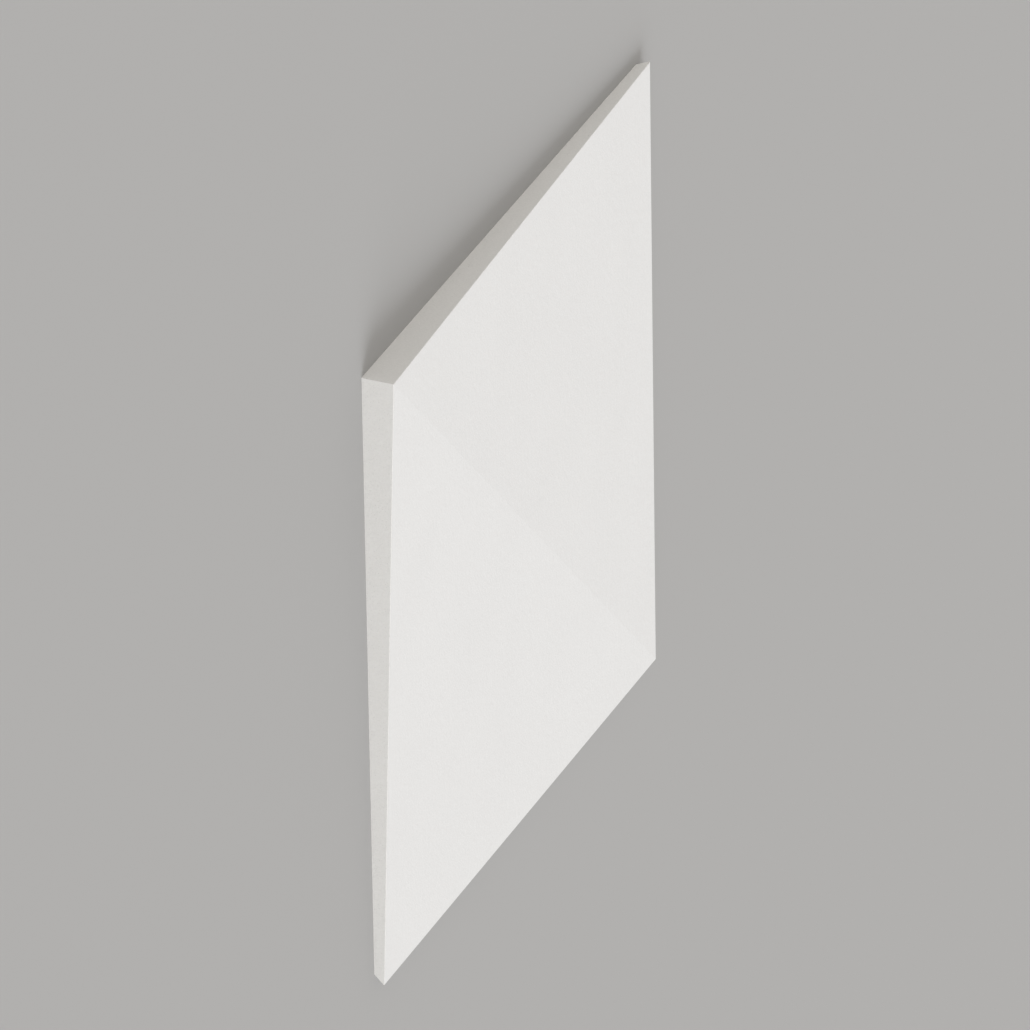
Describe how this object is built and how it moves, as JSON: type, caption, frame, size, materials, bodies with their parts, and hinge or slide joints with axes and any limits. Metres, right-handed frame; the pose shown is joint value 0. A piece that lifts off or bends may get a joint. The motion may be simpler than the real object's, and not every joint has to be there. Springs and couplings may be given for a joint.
{
  "type": "textured gypsum wall panel",
  "caption": "Square cast gypsum wall panel with a flat back, a face folded into two facets along its diagonal, thick at one corner, and two undercut thin sides.",
  "frame": {"origin": "under the middle of the face, on the surface that the flat back lies on", "axes": "+Z out of the face, +X to the panel's right and +Y to its top as seen from the front; the thick corner is at -X +Y"},
  "size_m": [0.6, 0.6, 0.03],
  "materials": {
    "gypsum": "matte, cast gypsum plaster"
  },
  "bodies": {
    "root": {"gypsum_panel": "gypsum"}
  },
  "joints": []
}
